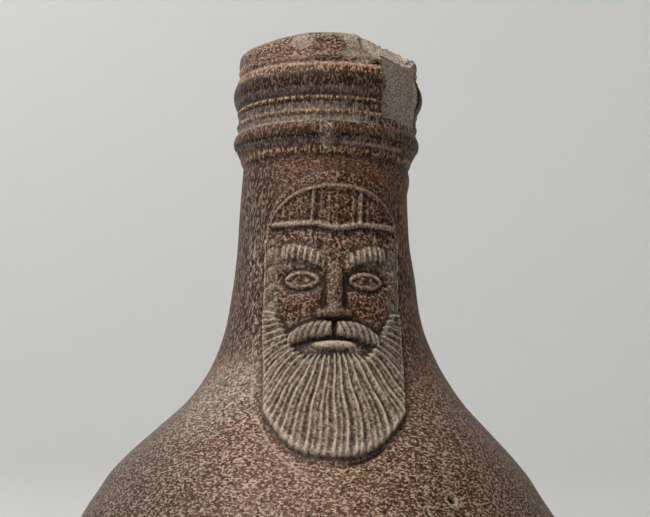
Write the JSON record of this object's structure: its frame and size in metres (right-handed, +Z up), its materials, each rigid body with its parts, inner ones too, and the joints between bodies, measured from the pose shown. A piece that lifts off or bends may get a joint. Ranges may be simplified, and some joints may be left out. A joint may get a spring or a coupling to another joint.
{
  "type": "bellarmine jug",
  "caption": "Round-bellied salt-glazed stoneware bottle jug with a narrow ringed neck, a moulded bearded mask on the front and a strap handle behind; rim chipped.",
  "frame": {"origin": "centre of the foot's underside, on the axis the jug was thrown about", "axes": "+Z up along the jug's axis; the mask faces -Y, the handle is at +Y, and +X is the viewer's right"},
  "size_m": [0.135, 0.135, 0.236],
  "materials": {
    "salt_glazed_stoneware": "mottled brown and tan salt glaze, satin, grey clay bare in the chips"
  },
  "bodies": {
    "root": {"jug": "salt_glazed_stoneware"}
  },
  "joints": []
}
